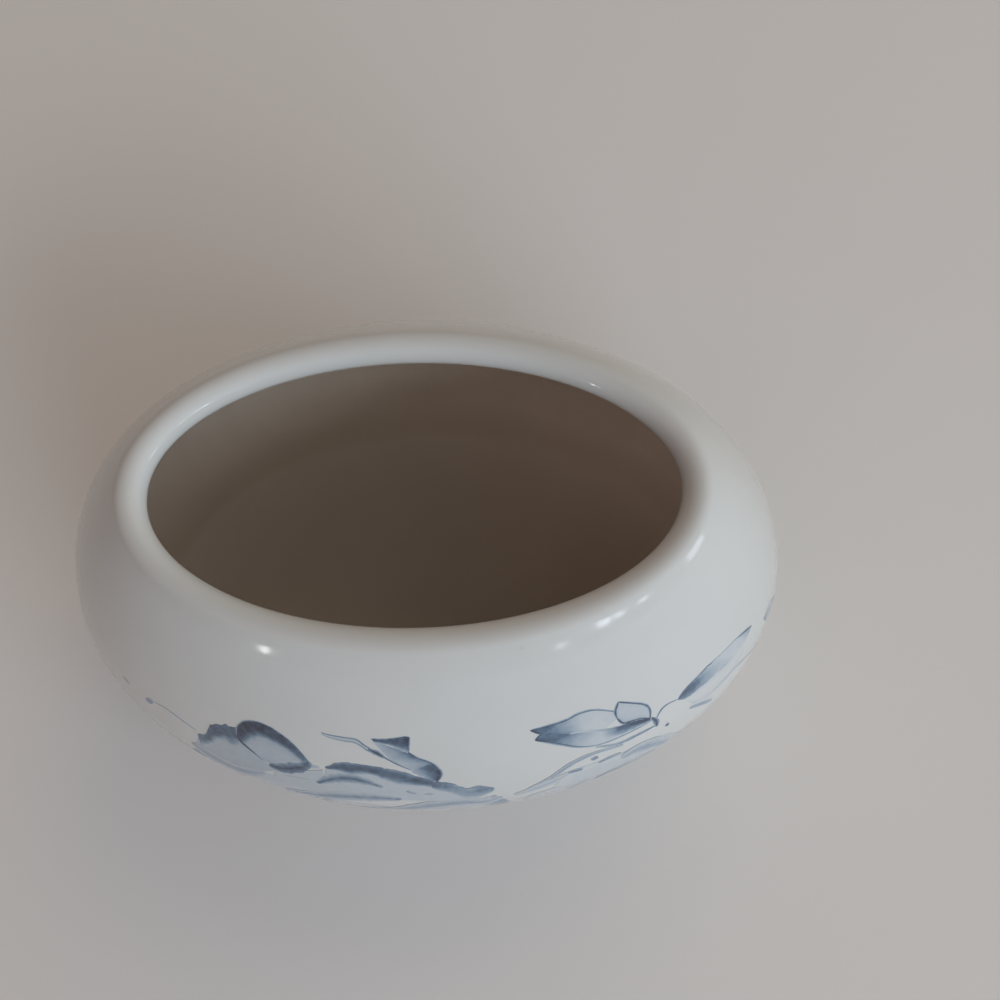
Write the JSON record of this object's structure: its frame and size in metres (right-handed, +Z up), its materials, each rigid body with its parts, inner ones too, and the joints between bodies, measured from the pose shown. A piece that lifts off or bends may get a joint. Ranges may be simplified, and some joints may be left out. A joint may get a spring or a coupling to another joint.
{
  "type": "miniature vase",
  "caption": "Small oval round-shouldered porcelain vase with a wide oval mouth, white outer glaze, brown inner glaze, a bare foot ring and blue printed flower sprays.",
  "frame": {"origin": "middle of the foot on the table", "axes": "+X along the oval, +Y towards the back, +Z up through the mouth"},
  "size_m": [0.08, 0.0566, 0.0465],
  "materials": {
    "porcelain": "bare fired porcelain",
    "white_glaze": "glossy white glaze",
    "brown_glaze": "satin dark brown glaze",
    "biscuit": "unglazed, slightly worn",
    "print_dark": "fired-on dark blue print under gloss",
    "print_mid": "fired-on blue print under gloss",
    "print_pale": "fired-on pale blue print under gloss"
  },
  "bodies": {
    "root": {"porcelain_body": "porcelain", "outer_glaze": "white_glaze", "liner_glaze": "brown_glaze", "foot_ring": "biscuit", "front_blossom_left": "print_mid", "front_blossom_centre": "print_mid", "front_blossom_right": "print_pale", "front_leaf_turned": "print_dark", "front_leaf_forked": "print_mid", "front_leaf_slender": "print_mid", "front_leaf_end": "print_dark", "front_leaf_low_left": "print_mid", "front_leaf_low_centre": "print_dark", "front_leaf_low_right": "print_mid", "front_bud_left": "print_dark", "front_bud_small": "print_dark", "front_stem_left": "print_dark", "front_stem_centre": "print_dark", "front_stem_right": "print_dark", "back_blossom_left": "print_mid", "back_blossom_centre": "print_mid", "back_blossom_right": "print_pale", "back_leaf_turned": "print_dark", "back_leaf_forked": "print_mid", "back_leaf_slender": "print_mid", "back_leaf_end": "print_dark", "back_leaf_low_left": "print_mid", "back_leaf_low_centre": "print_dark", "back_leaf_low_right": "print_mid", "back_bud_left": "print_dark", "back_bud_small": "print_dark", "back_stem_left": "print_dark", "back_stem_centre": "print_dark", "back_stem_right": "print_dark"}
  },
  "joints": []
}
